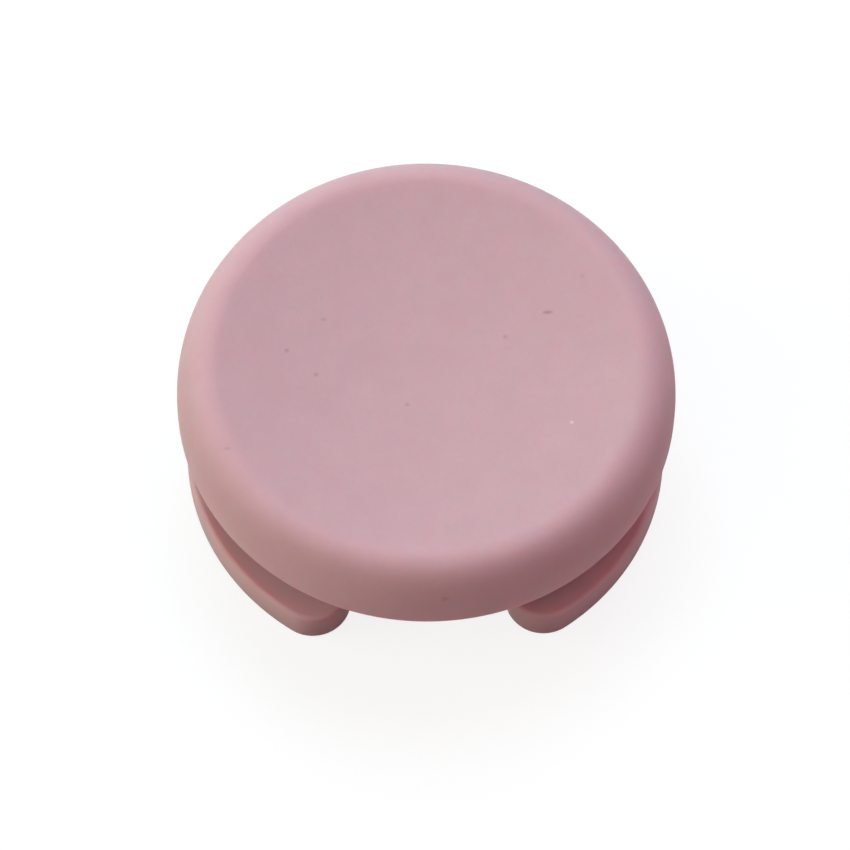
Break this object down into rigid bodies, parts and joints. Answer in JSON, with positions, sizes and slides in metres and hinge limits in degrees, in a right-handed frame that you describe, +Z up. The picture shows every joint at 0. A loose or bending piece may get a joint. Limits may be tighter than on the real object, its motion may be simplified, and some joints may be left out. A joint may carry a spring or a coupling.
{
  "type": "thumbstick cap",
  "caption": "Round dished thumb cap on a short neck, over a flat notched flange of two crescent lobes, with a square blind socket beneath.",
  "frame": {"origin": "centre of the flange's underside, on the axis of the disc and the socket", "axes": "+Z up along the disc's axis towards the thumb, -Y towards the front notch, +X to the right lobe"},
  "size_m": [0.017, 0.017, 0.0066],
  "materials": {
    "pink_plastic": "fine matte moulded surface, dusty pink"
  },
  "bodies": {
    "root": {"thumbstick_cap": "pink_plastic"}
  },
  "joints": []
}
